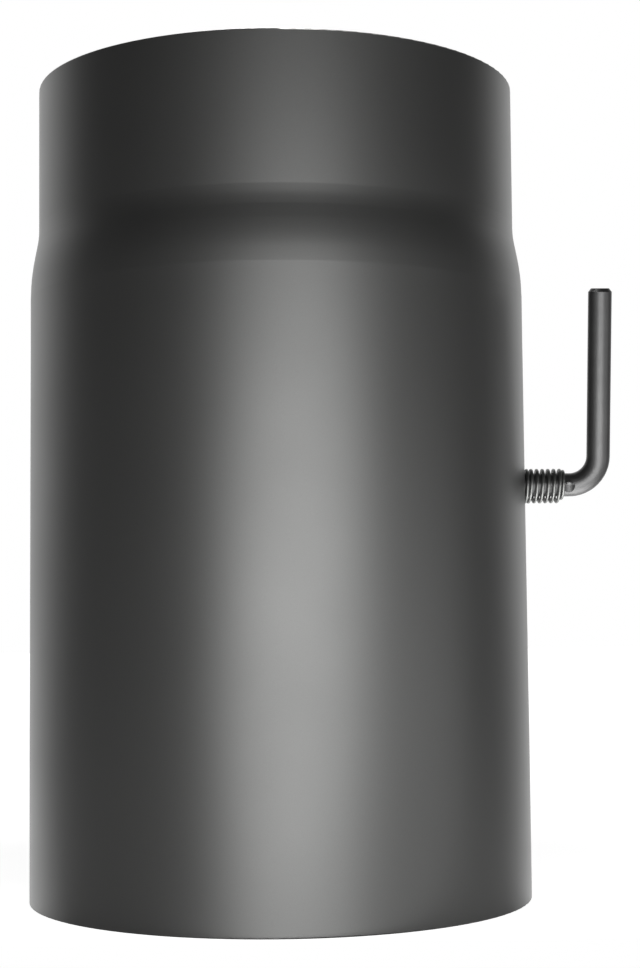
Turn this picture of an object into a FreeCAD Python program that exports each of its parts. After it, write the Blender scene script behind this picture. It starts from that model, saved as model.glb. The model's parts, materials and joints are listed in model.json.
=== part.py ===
import FreeCAD, Part
import math
import os

# Stove pipe damper, in millimetres. The origin is on the pipe's axis at the rim of its wide end, +Z runs up the
# pipe to its narrow end, and +X runs along the rod to the handle. The handle lies in the flap's own plane, so it
# stands up the pipe when the flap is open.

Vector = FreeCAD.Vector

# Pipe: 2 mm sheet, rolled, welded and drawn in at the top so that the next pipe fits over it
bore_diameter = 150.0
wall = 2.0
pipe_length = 250.0
socket_depth = 50.0
spigot_diameter = 148.3
spigot_length = 46.5
shoulder_length = 13.0
body_draw_in = 0.3
shoulder_top_bend = 65.0
shoulder_foot_bend = 30.0
rim_round = 0.4

# Rod: one bar across the pipe, bent square outside it into the handle
rod_diameter = 7.3
rod_height = 126.45
handle_standoff = 23.6
handle_length = 61.4
handle_bend = 9.0
handle_turn = 10.0
end_chamfer = 0.85
end_chamfer_height = 1.1

# Spring: closed at both ends, hanging a little low on the rod, with the end at the handle wound in to it
wire_diameter = 1.0
coil_diameter = 10.9
coil_sag = 0.35
coil_pitch = 1.77
closed_pitch = 1.05
open_half_turns = 11
closed_half_turns = 2

# Stakes: two punched scoops whose raised lips hold the spring on the rod
stake_radius = 2.6
stake_depth = 0.95
stake_height = 0.7
stake_slope = 13.0
stake_turn = 6.0
lip_radius = 0.7
lip_length = 2.2
lip_rise = 0.45

# Flap: a flat disc on the back of the rod, cut straight on the handle's side so that the flue never closes fully
# and the flap's own weight helps to hold it open
flap_thickness = 2.0
flap_radial_gap = 2.5
flap_cut = 49.0
bolt_spacing = 72.0

# Fasteners: two hexagon bolts with split washers and nuts
bolt_diameter = 4.0
bolt_length = 14.0
hexagon_width = 7.0
bolt_head_height = 2.8
nut_height = 3.2
washer_diameter = 7.4
washer_thickness = 1.0
washer_split = 0.8
head_seat_depth = 0.7
head_seat_length = 9.0
thread_chamfer = 0.5

# Clearances
rod_clearance = 0.3
running_gap = 0.3
bolt_clearance = 0.2
thread_clearance = 0.05
wrap_clearance = 0.1
spring_gap = 0.1
stake_gap = 0.2

# Worked out from the sizes above
bore_radius = bore_diameter / 2
spigot_radius = spigot_diameter / 2
rod_radius = rod_diameter / 2
wire_radius = wire_diameter / 2
coil_radius = coil_diameter / 2 - wire_radius
wound_radius = rod_radius + wrap_clearance + wire_radius
bolt_radius = bolt_diameter / 2
shoulder_top = pipe_length - spigot_length
shoulder_foot = shoulder_top - shoulder_length
drawn_share = (rod_height - socket_depth) / (shoulder_foot - socket_depth)
bore_at_rod = bore_radius - body_draw_in * drawn_share
outside_at_rod = bore_at_rod + wall
flap_back = rod_radius + flap_thickness
flap_radius = bore_radius - flap_radial_gap
flap_shift = math.sqrt((bore_at_rod - running_gap) ** 2 - flap_back ** 2) - flap_radius
spring_start = outside_at_rod + spring_gap
handle_reach = outside_at_rod + handle_standoff
bend_start = handle_reach - handle_bend
bolt_places = [-bolt_spacing / 2, bolt_spacing / 2]
head_seat = -(rod_radius - head_seat_depth)


def joined(solids):
    """One solid from pieces that share faces or run into each other."""
    return solids[0].multiFuse(solids[1:]).removeSplitter()


def rounded_outline(corners):
    """A closed wire in the XZ plane through (x, z, bend radius) corners, each corner rounded by an arc."""
    points = [Vector(x, 0, z) for x, z, radius in corners]
    starts, ends, arcs = [], [], []
    for i, (x, z, radius) in enumerate(corners):
        corner = points[i]
        back = (points[i - 1] - corner).normalize()
        ahead = (points[(i + 1) % len(points)] - corner).normalize()
        if radius == 0:
            starts.append(corner)
            ends.append(corner)
            continue
        half_angle = back.getAngle(ahead) / 2
        starts.append(corner + back * (radius / math.tan(half_angle)))
        ends.append(corner + ahead * (radius / math.tan(half_angle)))
        inward = (back + ahead).normalize()
        middle = corner + inward * (radius / math.sin(half_angle) - radius)
        arcs.append(Part.Arc(starts[-1], middle, ends[-1]).toShape())
    lines = [Part.makeLine(ends[i - 1], starts[i]) for i in range(len(points))]
    return Part.Wire(Part.__sortEdges__(lines + arcs))


def turned(shape):
    """Places a piece that was drawn on the rod's own axis, with the handle along +Z, at its rest pose."""
    shape.rotate(Vector(0, 0, 0), Vector(1, 0, 0), handle_turn)
    shape.translate(Vector(0, 0, rod_height))
    return shape


def along_y(radius, start, end, x=0.0):
    """A round bar along Y from start to end."""
    return Part.makeCylinder(radius, end - start, Vector(x, start, 0), Vector(0, 1, 0))


def hexagon_bar(start, end, x):
    """A hexagon bar along Y, with its corners turned down at both ends."""
    corner_radius = hexagon_width / math.sqrt(3)
    corners = []
    for i in range(7):
        angle = math.radians(60 * i)
        corners.append(Vector(x + corner_radius * math.cos(angle), start, corner_radius * math.sin(angle)))
    bar = Part.Face(Part.makePolygon(corners)).extrude(Vector(0, end - start, 0))
    turned_down = corner_radius - hexagon_width / 2
    slope = turned_down * math.tan(math.radians(30))
    low = Part.makeCone(hexagon_width / 2, corner_radius, slope, Vector(x, start, 0), Vector(0, 1, 0))
    middle = along_y(corner_radius, start + slope, end - slope, x)
    high = Part.makeCone(corner_radius, hexagon_width / 2, slope, Vector(x, end - slope, 0), Vector(0, 1, 0))
    return bar.common(joined([low, middle, high]))


def pipe_body():
    """The pipe: a rounded wall section turned round Z, with a hole each side for the rod."""
    body_top = bore_radius - body_draw_in
    spigot_bore = spigot_radius - wall
    section = rounded_outline([
        (bore_radius + wall, 0, rim_round),
        (bore_radius + wall, socket_depth, 0),
        (body_top + wall, shoulder_foot, shoulder_top_bend),
        (spigot_radius, shoulder_top, shoulder_foot_bend),
        (spigot_radius, pipe_length, rim_round),
        (spigot_bore, pipe_length, rim_round),
        (spigot_bore, shoulder_top, shoulder_foot_bend + wall),
        (body_top, shoulder_foot, shoulder_top_bend - wall),
        (bore_radius, socket_depth, 0),
        (bore_radius, 0, rim_round),
    ])
    tube = Part.Face(section).revolve(Vector(0, 0, 0), Vector(0, 0, 1), 360)
    reach = 2 * outside_at_rod
    drill = Part.makeCylinder(
        rod_radius + rod_clearance, 2 * reach, Vector(-reach, 0, rod_height), Vector(1, 0, 0)
    )
    return tube.cut(drill)


def bent_bar():
    """The plain bar: straight across the pipe, round the bend and up the handle, with both ends chamfered."""
    along, upward = Vector(1, 0, 0), Vector(0, 0, 1)
    end_radius = rod_radius - end_chamfer
    far_end = -(outside_at_rod - running_gap)
    tail = Part.makeCone(end_radius, rod_radius, end_chamfer_height, Vector(far_end, 0, 0), along)
    axle_start = far_end + end_chamfer_height
    axle = Part.makeCylinder(rod_radius, bend_start - axle_start, Vector(axle_start, 0, 0), along)
    section = Part.Face(Part.Wire(Part.makeCircle(rod_radius, Vector(bend_start, 0, 0), along)))
    bend = section.revolve(Vector(bend_start, 0, handle_bend), Vector(0, -1, 0), 90)
    chamfer_start = handle_length - end_chamfer_height
    leg_foot = Vector(handle_reach, 0, handle_bend)
    leg = Part.makeCylinder(rod_radius, chamfer_start - handle_bend, leg_foot, upward)
    tip = Part.makeCone(rod_radius, end_radius, end_chamfer_height, Vector(handle_reach, 0, chamfer_start), upward)
    return joined([tail, axle, bend, leg, tip])


def stake_scoop(x):
    """The punch that cuts a scoop in the front of the rod: deepest at its flat top, running out downwards."""
    slope = math.radians(stake_slope)
    downward = Vector(0, -math.sin(slope), -math.cos(slope))
    outward = Vector(0, -math.cos(slope), math.sin(slope))
    floor_top = Vector(x, -(rod_radius - stake_depth), stake_height)
    return Part.makeCylinder(stake_radius, 2 * rod_diameter, floor_top + outward * stake_radius, downward)


def stake_lip(x):
    """The metal pushed up above a scoop: a short rounded ridge along the rod."""
    depth = rod_radius + lip_rise - lip_radius
    height = stake_height + lip_radius
    centre_y = -math.sqrt(depth ** 2 - height ** 2)
    half = lip_length / 2 - lip_radius
    ends = [Vector(x - half, centre_y, height), Vector(x + half, centre_y, height)]
    ridge = Part.makeCylinder(lip_radius, 2 * half, ends[0], Vector(1, 0, 0))
    return joined([ridge] + [Part.makeSphere(lip_radius, end) for end in ends])


def control_rod():
    """The bent bar with its two stakes, bolt holes and seats for the bolt heads."""
    rod = bent_bar()
    stake_place = spring_front_end() + stake_gap + lip_length / 2
    for side in (stake_turn, stake_turn + 180):
        lip, scoop = stake_lip(stake_place), stake_scoop(stake_place)
        for tool in (lip, scoop):
            tool.rotate(Vector(0, 0, 0), Vector(1, 0, 0), side)
        rod = rod.fuse(lip).cut(scoop)
    for x in bolt_places:
        rod = rod.cut(along_y(bolt_radius + bolt_clearance, -rod_diameter, rod_diameter, x))
        corner = Vector(x - head_seat_length / 2, head_seat - rod_diameter, -rod_diameter)
        rod = rod.cut(Part.makeBox(head_seat_length, rod_diameter, 2 * rod_diameter, corner))
    return turned(rod)


def coil_stations():
    """Where the spring's wire passes under and over the rod in turn, as (along, height) pairs."""
    closed_end = [closed_pitch / 2] * closed_half_turns
    steps = [0.0] + closed_end + [coil_pitch / 2] * open_half_turns + closed_end
    along = spring_start + wire_radius
    stations = []
    for i, step in enumerate(steps):
        along += step
        side = -1 if i % 2 == 0 else 1
        wound_in = i >= len(steps) - closed_half_turns
        height = side * wound_radius if wound_in else side * coil_radius - coil_sag
        stations.append((along, height))
    return stations


def spring_front_end():
    """How far the spring reaches along the front of the rod, halfway through its last half turn."""
    stations = coil_stations()
    return (stations[-2][0] + stations[-1][0]) / 2 + wire_radius


def thrust_spring():
    """A left-hand spring made of half turns that meet square to the bend plane, so each runs on into the next."""
    half_turns = []
    stations = coil_stations()
    for i in range(len(stations) - 1):
        start = Vector(stations[i][0], 0, stations[i][1])
        end = Vector(stations[i + 1][0], 0, stations[i + 1][1])
        centre = (start + end) / 2
        heading = Vector(0, -1 if i % 2 == 0 else 1, 0)
        wire = Part.Face(Part.Wire(Part.makeCircle(wire_radius, start, heading)))
        half_turns.append(wire.revolve(centre, (start - centre).cross(heading), 180))
    return turned(joined(half_turns))


def flap_plate():
    """The flap: a disc behind the rod, drawn along it by the spring, with its straight cut on the handle's side."""
    back = Vector(0, 1, 0)
    disc = Part.makeCylinder(flap_radius, flap_thickness, Vector(flap_shift, rod_radius, 0), back)
    corner = Vector(flap_shift - flap_radius, 0, flap_cut)
    plate = disc.cut(Part.makeBox(2 * flap_radius, 2 * flap_back, flap_radius, corner))
    for x in bolt_places:
        plate = plate.cut(along_y(bolt_radius + bolt_clearance, 0, 2 * flap_back, x))
    return turned(plate)


def flap_bolt(x):
    """A hexagon bolt with its head on the rod's seat and its thread end past the nut."""
    head = hexagon_bar(head_seat - bolt_head_height, head_seat, x)
    chamfer_start = head_seat + bolt_length - thread_chamfer
    shank = along_y(bolt_radius, head_seat, chamfer_start, x)
    end = Part.makeCone(
        bolt_radius, bolt_radius - thread_chamfer, thread_chamfer, Vector(x, chamfer_start, 0), Vector(0, 1, 0)
    )
    return turned(joined([head, shank, end]))


def lock_washer(x):
    """A split spring washer on the back of the flap."""
    outer_end = flap_back + washer_thickness
    ring = along_y(washer_diameter / 2, flap_back, outer_end, x)
    ring = ring.cut(along_y(bolt_radius + bolt_clearance, flap_back, outer_end, x))
    corner = Vector(x - washer_split / 2, flap_back - washer_thickness, 0)
    split = Part.makeBox(washer_split, 3 * washer_thickness, washer_diameter, corner)
    split.rotate(Vector(x, flap_back + washer_thickness / 2, 0), Vector(0, 0, 1), 25)
    return turned(ring.cut(split))


def flap_nut(x):
    """A hexagon nut that closes the bolt on its washer."""
    start = flap_back + washer_thickness
    nut = hexagon_bar(start, start + nut_height, x)
    return turned(nut.cut(along_y(bolt_radius + thread_clearance, start, start + nut_height, x)))


def pair(make):
    return Part.makeCompound([make(x) for x in bolt_places])


os.makedirs("parts", exist_ok=True)
pieces = {
    "pipe_body": pipe_body(),
    "control_rod": control_rod(),
    "thrust_spring": thrust_spring(),
    "flap_plate": flap_plate(),
    "flap_bolts": pair(flap_bolt),
    "lock_washers": pair(lock_washer),
    "flap_nuts": pair(flap_nut),
}
for name, shape in pieces.items():
    shape.exportStep("parts/" + name + ".step")
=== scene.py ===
import json
import math

import bpy
from mathutils import Matrix, Vector

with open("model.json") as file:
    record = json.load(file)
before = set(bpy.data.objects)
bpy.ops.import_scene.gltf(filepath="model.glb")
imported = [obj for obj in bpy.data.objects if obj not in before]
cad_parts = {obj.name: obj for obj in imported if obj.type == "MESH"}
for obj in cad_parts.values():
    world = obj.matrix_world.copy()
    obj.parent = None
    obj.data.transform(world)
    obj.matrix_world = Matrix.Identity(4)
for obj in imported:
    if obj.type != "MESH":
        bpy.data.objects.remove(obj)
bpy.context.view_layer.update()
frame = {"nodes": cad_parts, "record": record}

# Stove pipe damper: paint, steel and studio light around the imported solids, in metres. The pipe stands on
# its wide end with its axis along Z, and the rod runs along X to the handle.

# Camera, fitted to the photograph's outline, with its lens in millimetres and its angles in degrees
camera_place = Vector((0.0, -0.5896, 0.0901))
camera_lens = 70.1
camera_yaw = 1.27
camera_pitch = 3.61
camera_roll = -0.516

# Lamps: azimuth in degrees to the right of the view, distance and height of the middle, width and height of
# the oval, and radiance. Some lean back from upright or roll to lift their right end. The key's layers are
# shares of its size that soften its edge. It leaves out the rod and its spring, which have a front lamp and
# a low lamp of their own. The mouth lamp hangs over the pipe and lights its inside.
key_lamp = dict(turn=7, distance=0.521, height=0.075, size=(0.58, 0.39), radiance=3.35, roll=10)
key_layers = (1.2, 0.98, 0.76)
key_layer_gap = 0.004
side_lamp = dict(turn=64, distance=1.0, height=-0.03, size=(0.95, 0.42), radiance=0.72)
rod_lamp = dict(turn=10, distance=0.521, height=-0.055, size=(0.64, 0.4), radiance=3.4)
low_lamp = dict(turn=66, distance=0.13, height=0.002, size=(0.2, 0.13), radiance=4.0, lean=90)
mouth_lamp = dict(turn=0, distance=0.0, height=0.4, size=(0.06, 0.06), radiance=40.0, lean=-90)

# Room, by the parts of a direction: a dim front that darkens upwards, a paler floor, and a white backdrop
# that is turned a few degrees from the view
front_level, high_level = 0.07, 0.025
high_start, high_end = 0.05, 0.35
floor_level = 0.3
floor_start, floor_end = 0.0, -0.1
backdrop_turn = -3.5
backdrop_start, backdrop_end = 0.32, 0.74

# Table top: its colour, and its glow to the camera, which rises to full white at the front edge and far away
table_front = -0.08
table_reach = 3.0
table_white = 0.8
table_roughness = 0.9
table_glow = 0.79
table_glow_back = 0.04
table_glow_near, table_glow_far = 0.2, 0.45

# The table in reflections: it carries the backdrop on to the pipe's foot, coming forward with nearness, and
# has a dim pool of light near the pipe that is paler on the handle's side
table_backdrop_start, table_backdrop_end = 0.47, 0.87
table_nearness, table_nearness_fade = 0.083, 1.25
pool_near, pool_far = 0.12, 0.3
pool_left, pool_right = 0.05, 0.18
pool_reach = 0.1

# Finishes: the scale of a noise counts its features to the metre, and its octaves make it finer. Most of it
# lies between two values, and a full relief has one depth.
few_octaves, usual_octaves, many_octaves = 2.0, 3.0, 5.0
noise_low, noise_high = 0.3, 0.7
relief_depth = 0.0001

# Heat paint, thinner inside the pipe, and the ground weld that shows through it up the back
paint_dark, paint_light = (0.146, 0.147, 0.144, 1.0), (0.164, 0.165, 0.162, 1.0)
inner_dark, inner_light = (0.1, 0.098, 0.095, 1.0), (0.17, 0.167, 0.162, 1.0)
paint_roughness = (0.425, 0.455)
dull_roughness = 0.12
paint_metallic, inner_metallic = 0.92, 0.4
paint_coat, inner_coat = 0.3, 0.0
coat_roughness = 0.35
paint_grain, paint_clouds = 6000.0, 26.0
grain_relief = 0.05
inside_edge = 0.01
weld_width = 0.006
weld_ripples = 400.0
weld_ripple_stretch = (0.4, 0.4, 1.0)

# Rod, with lines drawn along it that turn from the axle to the handle between two heights
rod_dark, rod_light = 0.125, 0.165
rod_roughness = (0.4, 0.47)
rod_metallic = 0.9
rod_clouds = 180.0
drawn_lines, drawn_stretch = 2500.0, 0.02
drawn_relief = 0.12
handle_low, handle_high = 0.13, 0.136

# Spring wire
spring_dark, spring_light = (0.24, 0.242, 0.236, 1.0), (0.32, 0.323, 0.315, 1.0)
spring_roughness = (0.4, 0.48)
spring_clouds = 500.0
spring_relief = 0.1

# Flap sheet, with rolling lines that share its roughness with the clouds
flap_dark, flap_light = (0.22, 0.222, 0.226, 1.0), (0.36, 0.357, 0.35, 1.0)
flap_roughness = (0.36, 0.54)
flap_clouds = 40.0
rolled_lines, rolled_stretch = 900.0, 0.03
rolled_share = 0.6
rolled_relief = 0.15

# Bolts, washers and nuts, and the bolts' threads, which start behind the flap and lean with it
fastener_dark, fastener_light = 0.38, 0.5
fastener_roughness = (0.28, 0.4)
fastener_clouds = 400.0
fastener_relief = 0.1
rod_joint = frame["record"]["behaviour"]["joints"][0]
flap_lean = math.radians(10)
thread_start = 0.0057
thread_pitch = 0.0007

# Edges flatter than these angles, in degrees, are shaded smooth
pipe_smooth, plain_smooth, wire_smooth = 20, 30, 40


# Node helpers


def new_material(name):
    """An empty node material with its node tree and its surface shader."""
    material = bpy.data.materials.new(name)
    material.use_nodes = True
    tree = material.node_tree
    return material, tree, tree.nodes["Principled BSDF"]


def give(tree, socket, value):
    """Links an input to another socket, or sets it to a number, a vector or a colour."""
    if isinstance(value, bpy.types.NodeSocket):
        tree.links.new(value, socket)
    else:
        socket.default_value = value


def add(tree, kind, **settings):
    """A node with its settings: inputs by name, with spaces as underscores, or attributes of the node."""
    node = tree.nodes.new(kind)
    for name, value in settings.items():
        socket = node.inputs.get(name.replace("_", " "))
        if socket is None:
            setattr(node, name, value)
        else:
            give(tree, socket, value)
    return node


def surface(tree, shader, **values):
    """Gives a shader its values, by the names of its inputs with spaces as underscores."""
    for name, value in values.items():
        give(tree, shader.inputs[name.replace("_", " ")], value)


def maths(tree, operation, first, second=0.0):
    """The result of a sum on two sockets or numbers."""
    node = add(tree, "ShaderNodeMath", operation=operation)
    give(tree, node.inputs[0], first)
    give(tree, node.inputs[1], second)
    return node.outputs["Value"]


def vector_maths(tree, operation, first, second=(0.0, 0.0, 0.0)):
    """The outputs of a sum on two vectors."""
    node = add(tree, "ShaderNodeVectorMath", operation=operation)
    give(tree, node.inputs[0], first)
    give(tree, node.inputs[1], second)
    return node.outputs


def largest(tree, first, *others):
    """The largest of several sockets."""
    for other in others:
        first = maths(tree, "MAXIMUM", first, other)
    return first


def grey(level):
    """A grey colour of one level."""
    return (level, level, level, 1.0)


def noise(tree, place, scale, octaves=usual_octaves, stretch=(1.0, 1.0, 1.0)):
    """A noise from 0 to 1 in object space, with its scale stretched along the axes."""
    mapping = add(tree, "ShaderNodeMapping", Vector=place.outputs["Object"], Scale=stretch)
    made = add(tree, "ShaderNodeTexNoise", Vector=mapping.outputs["Vector"], Scale=scale, Detail=octaves)
    return made.outputs["Fac"]


def ranged(tree, value, low, high, start=0.0, end=1.0):
    """Maps a value from start..end to low..high, which may be sockets."""
    limits = dict(From_Min=start, From_Max=end, To_Min=low, To_Max=high)
    return add(tree, "ShaderNodeMapRange", Value=value, **limits).outputs["Result"]


def parts_of(tree, vector):
    """The X, Y and Z of a vector."""
    return add(tree, "ShaderNodeSeparateXYZ", Vector=vector).outputs


def tinted(tree, factor, first, second):
    """A colour between two colours, which may be sockets."""
    node = add(tree, "ShaderNodeMix", data_type="RGBA", Factor=factor)
    colours = [socket for socket in node.inputs if socket.type == "RGBA"]
    give(tree, colours[0], first)
    give(tree, colours[1], second)
    return [socket for socket in node.outputs if socket.type == "RGBA"][0]


def bumped(tree, shader, height, strength=1.0, distance=relief_depth):
    """Gives a shader a relief from a height, which the distance turns into metres."""
    relief = add(tree, "ShaderNodeBump", Strength=strength, Distance=distance, Height=height)
    surface(tree, shader, Normal=relief.outputs["Normal"])


# Materials


def inside_of_pipe(tree, place):
    """1 on faces that look to the pipe's axis, 0 on faces that look away from it."""
    outward = vector_maths(tree, "MULTIPLY", place.outputs["Object"], (1.0, 1.0, 0.0))["Vector"]
    facing = vector_maths(tree, "DOT_PRODUCT", outward, place.outputs["Normal"])["Value"]
    return ranged(tree, facing, 1.0, 0.0, -inside_edge, inside_edge)


def weld_line(tree, place):
    """1 along the ground weld up the back of the pipe, fading out at its sides."""
    position = parts_of(tree, place.outputs["Object"])
    aside = maths(tree, "ABSOLUTE", position["X"])
    strip = ranged(tree, aside, 1.0, 0.0, weld_width / 4, weld_width / 2)
    back = maths(tree, "GREATER_THAN", position["Y"], 0.0)
    return maths(tree, "MULTIPLY", strip, back)


def heat_paint():
    """Dark heat-resistant paint with a satin, metallic look, a very fine grain and faint clouds in its gloss.
    Inside the pipe it is thinner and duller. Up the back a ground weld shows through as a rippled line."""
    material, tree, shader = new_material("heat_paint")
    place = add(tree, "ShaderNodeTexCoord")
    grain = noise(tree, place, paint_grain, few_octaves)
    clouds = noise(tree, place, paint_clouds)
    inside = inside_of_pipe(tree, place)
    weld = weld_line(tree, place)
    ripples = noise(tree, place, weld_ripples, few_octaves, weld_ripple_stretch)
    outer = tinted(tree, ranged(tree, grain, 0.0, 1.0, noise_low, noise_high), paint_dark, paint_light)
    inner = tinted(tree, clouds, inner_dark, inner_light)
    gloss = ranged(tree, clouds, *paint_roughness, noise_low, noise_high)
    duller = maths(tree, "MULTIPLY", largest(tree, inside, weld), dull_roughness)
    surface(
        tree,
        shader,
        Base_Color=tinted(tree, inside, outer, inner),
        Roughness=maths(tree, "ADD", gloss, duller),
        Metallic=ranged(tree, inside, paint_metallic, inner_metallic),
        Coat_Weight=ranged(tree, inside, paint_coat, inner_coat),
        Coat_Roughness=coat_roughness,
    )
    fine_relief = maths(tree, "MULTIPLY", grain, grain_relief)
    weld_relief = maths(tree, "MULTIPLY", weld, ripples)
    bumped(tree, shader, maths(tree, "ADD", fine_relief, weld_relief))
    return material


def dark_rod():
    """Dark satin bar, with faint lines drawn along its straight length and its handle."""
    material, tree, shader = new_material("dark_rod")
    place = add(tree, "ShaderNodeTexCoord")
    axle_lines = noise(tree, place, drawn_lines, few_octaves, (drawn_stretch, 1.0, 1.0))
    handle_lines = noise(tree, place, drawn_lines, few_octaves, (1.0, 1.0, drawn_stretch))
    height = parts_of(tree, place.outputs["Object"])["Z"]
    lines = ranged(tree, height, axle_lines, handle_lines, handle_low, handle_high)
    clouds = noise(tree, place, rod_clouds)
    surface(
        tree,
        shader,
        Base_Color=tinted(tree, clouds, grey(rod_dark), grey(rod_light)),
        Roughness=ranged(tree, lines, *rod_roughness, noise_low, noise_high),
        Metallic=rod_metallic,
    )
    bumped(tree, shader, lines, drawn_relief)
    return material


def spring_steel():
    """Dark oiled spring wire."""
    material, tree, shader = new_material("spring_steel")
    place = add(tree, "ShaderNodeTexCoord")
    clouds = noise(tree, place, spring_clouds)
    surface(
        tree,
        shader,
        Base_Color=tinted(tree, clouds, spring_dark, spring_light),
        Roughness=ranged(tree, clouds, *spring_roughness, noise_low, noise_high),
        Metallic=1.0,
    )
    bumped(tree, shader, clouds, spring_relief)
    return material


def flap_steel():
    """Plain rolled sheet: a dull, clouded skin with faint rolling lines across it."""
    material, tree, shader = new_material("flap_steel")
    place = add(tree, "ShaderNodeTexCoord")
    clouds = noise(tree, place, flap_clouds, many_octaves)
    lines = noise(tree, place, rolled_lines, stretch=(rolled_stretch, 1.0, 1.0))
    line_part = maths(tree, "MULTIPLY", lines, rolled_share)
    cloud_part = maths(tree, "MULTIPLY", clouds, 1.0 - rolled_share)
    skin = maths(tree, "ADD", line_part, cloud_part)
    surface(
        tree,
        shader,
        Base_Color=tinted(tree, clouds, flap_dark, flap_light),
        Roughness=ranged(tree, skin, *flap_roughness, noise_low, noise_high),
        Metallic=1.0,
    )
    bumped(tree, shader, lines, rolled_relief)
    return material


def along_bolts(tree, place):
    """How far a point lies behind the rod's axis, along the bolts."""
    from_rod = vector_maths(tree, "SUBTRACT", place.outputs["Object"], rod_joint["pos_m"])["Vector"]
    bolt_direction = (0.0, math.cos(flap_lean), math.sin(flap_lean))
    return vector_maths(tree, "DOT_PRODUCT", from_rod, bolt_direction)["Value"]


def fastener_steel(name, threaded):
    """Plain steel, with fine threads on the end of a bolt, whose ridges are in metres already."""
    material, tree, shader = new_material(name)
    place = add(tree, "ShaderNodeTexCoord")
    clouds = noise(tree, place, fastener_clouds)
    surface(
        tree,
        shader,
        Base_Color=tinted(tree, clouds, grey(fastener_dark), grey(fastener_light)),
        Roughness=ranged(tree, clouds, *fastener_roughness),
        Metallic=1.0,
    )
    if threaded:
        along = along_bolts(tree, place)
        ridges = maths(tree, "PINGPONG", along, thread_pitch / 2)
        threads = maths(tree, "MULTIPLY", ridges, maths(tree, "GREATER_THAN", along, thread_start))
        bumped(tree, shader, threads, distance=1.0)
    else:
        bumped(tree, shader, clouds, fastener_relief)
    return material


def dress(material, smooth_angle, *nodes):
    """Gives CAD nodes a material and smooth shading across edges flatter than an angle."""
    for name in nodes:
        node = frame["nodes"][name]
        node.data.materials.clear()
        node.data.materials.append(material)
        node.data.shade_smooth()
        node.data.set_sharp_from_angle(angle=math.radians(smooth_angle))


# Studio


def toward_backdrop(tree, direction):
    """How far a direction points to the backdrop."""
    angle = math.radians(backdrop_turn)
    turn = add(tree, "ShaderNodeVectorRotate", rotation_type="Z_AXIS", Vector=direction, Angle=angle)
    return parts_of(tree, turn.outputs["Vector"])["Y"]


def table_reflection(tree, position, distance):
    """How bright the table is in the object's reflections."""
    outward = vector_maths(tree, "NORMALIZE", position)["Vector"]
    nearness = maths(tree, "POWER", maths(tree, "DIVIDE", table_nearness, distance), table_nearness_fade)
    toward = maths(tree, "ADD", toward_backdrop(tree, outward), nearness)
    behind = ranged(tree, toward, 0.0, 1.0, table_backdrop_start, table_backdrop_end)
    across = ranged(tree, parts_of(tree, position)["X"], pool_left, pool_right, -pool_reach, pool_reach)
    pool = maths(tree, "MULTIPLY", across, ranged(tree, distance, 1.0, 0.0, pool_near, pool_far))
    return largest(tree, behind, pool)


def table_material():
    """White that glows to the camera and has its own level in reflections."""
    material, tree, shader = new_material("table_white")
    position = add(tree, "ShaderNodeTexCoord").outputs["Object"]
    distance = vector_maths(tree, "LENGTH", position)["Value"]
    front = ranged(tree, parts_of(tree, position)["Y"], 1.0, table_glow, table_front, table_glow_back)
    far = ranged(tree, distance, table_glow, 1.0, table_glow_near, table_glow_far)
    ray = add(tree, "ShaderNodeLightPath").outputs
    to_camera = maths(tree, "MULTIPLY", ray["Is Camera Ray"], largest(tree, front, far))
    in_mirror = maths(tree, "MULTIPLY", ray["Is Glossy Ray"], table_reflection(tree, position, distance))
    surface(
        tree,
        shader,
        Base_Color=grey(table_white),
        Roughness=table_roughness,
        Specular_IOR_Level=0.0,
        Emission_Color=grey(1.0),
        Emission_Strength=largest(tree, to_camera, in_mirror),
    )
    return material


def make_table():
    """A white table top, which takes the object's shadow."""
    mesh = bpy.data.meshes.new("table")
    corners = [
        (-table_reach, table_front, 0),
        (table_reach, table_front, 0),
        (table_reach, table_reach, 0),
        (-table_reach, table_reach, 0),
    ]
    mesh.from_pydata(corners, [], [(0, 1, 2, 3)])
    mesh.materials.append(table_material())
    table = bpy.data.objects.new("table", mesh)
    bpy.context.collection.objects.link(table)


def make_room():
    """The world: white to the camera, with a white backdrop behind the object and a dim room in front."""
    world = bpy.data.worlds.new("room")
    bpy.context.scene.world = world
    world.use_nodes = True
    tree = world.node_tree
    direction = add(tree, "ShaderNodeTexCoord").outputs["Generated"]
    height = parts_of(tree, direction)["Z"]
    front = ranged(tree, height, front_level, high_level, high_start, high_end)
    floor = ranged(tree, height, 0.0, floor_level, floor_start, floor_end)
    backdrop = ranged(tree, toward_backdrop(tree, direction), 0.0, 1.0, backdrop_start, backdrop_end)
    ray = add(tree, "ShaderNodeLightPath").outputs
    level = largest(tree, front, floor, backdrop, ray["Is Camera Ray"])
    surface(tree, tree.nodes["Background"], Color=grey(1.0), Strength=level)


def make_lamp(name, turn, distance, height, size, radiance, lean=0, roll=0):
    """An oval lamp that faces the pipe's axis. Leaned back by 90 degrees it faces up, and by -90 down."""
    data = bpy.data.lights.new(name, "AREA")
    data.shape = "ELLIPSE"
    data.size, data.size_y = size
    oval_area = math.pi / 4 * size[0] * size[1]
    data.energy = radiance * math.pi * oval_area
    lamp = bpy.data.objects.new(name, data)
    angle = math.radians(turn)
    lamp.location = (distance * math.sin(angle), -distance * math.cos(angle), height)
    lamp.rotation_euler = (math.radians(90 + lean), -math.radians(roll), angle)
    lamp.visible_camera = False
    bpy.context.collection.objects.link(lamp)
    return lamp


def rod_and_spring(name, link_state):
    """A lamp's list of the rod and its spring: INCLUDE lights only them, EXCLUDE lights all the rest."""
    listed = bpy.data.collections.new(name)
    for node in ("control_rod", "thrust_spring"):
        listed.objects.link(frame["nodes"][node])
    for entry in listed.collection_objects:
        entry.light_linking.link_state = link_state
    return listed


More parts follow.
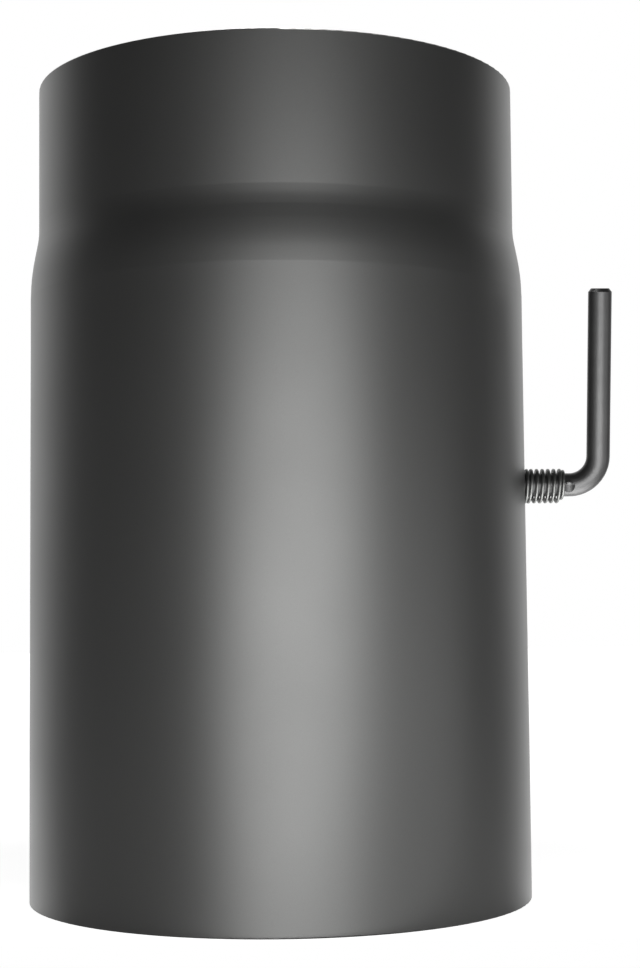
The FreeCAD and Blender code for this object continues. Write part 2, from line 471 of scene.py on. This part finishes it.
def make_key():
    """The key: a soft-edged lamp of ovals set one behind the other, which share its radiance."""
    left_out = rod_and_spring("all_but_the_rod", "EXCLUDE")
    for i, layer in enumerate(key_layers):
        oval = dict(key_lamp)
        oval["distance"] += i * key_layer_gap
        oval["size"] = [layer * length for length in key_lamp["size"]]
        oval["radiance"] /= len(key_layers)
        make_lamp("key", **oval).light_linking.receiver_collection = left_out


def make_rod_lamps():
    """The rod's own lamps in front and below, which light the rod and its spring and nothing else."""
    lit = rod_and_spring("only_the_rod", "INCLUDE")
    make_lamp("rod", **rod_lamp).light_linking.receiver_collection = lit
    make_lamp("low", **low_lamp).light_linking.receiver_collection = lit


def make_camera():
    """A camera at the photograph's place, turned by yaw and pitch and then rolled about its own axis."""
    yaw, pitch, roll = (math.radians(angle) for angle in (camera_yaw, camera_pitch, camera_roll))
    forward = Vector((math.sin(yaw) * math.cos(pitch), math.cos(yaw) * math.cos(pitch), math.sin(pitch)))
    level_right = Vector((math.cos(yaw), -math.sin(yaw), 0))
    level_up = level_right.cross(forward)
    right = level_right * math.cos(roll) + level_up * math.sin(roll)
    up = level_up * math.cos(roll) - level_right * math.sin(roll)
    data = bpy.data.cameras.new("camera")
    data.lens = camera_lens
    camera = bpy.data.objects.new("camera", data)
    turn = Matrix((right, up, -forward)).transposed().to_4x4()
    camera.matrix_world = Matrix.Translation(camera_place) @ turn
    bpy.context.collection.objects.link(camera)
    bpy.context.scene.camera = camera


dress(heat_paint(), pipe_smooth, "pipe_body")
dress(dark_rod(), plain_smooth, "control_rod")
dress(spring_steel(), wire_smooth, "thrust_spring")
dress(flap_steel(), plain_smooth, "flap_plate")
dress(fastener_steel("bolt_steel", True), plain_smooth, "flap_bolts")
dress(fastener_steel("fastener_steel", False), plain_smooth, "lock_washers", "flap_nuts")
make_table()
make_room()
make_key()
make_lamp("side", **side_lamp)
make_rod_lamps()
make_lamp("mouth", **mouth_lamp)
make_camera()
bpy.context.scene.view_settings.view_transform = "Standard"
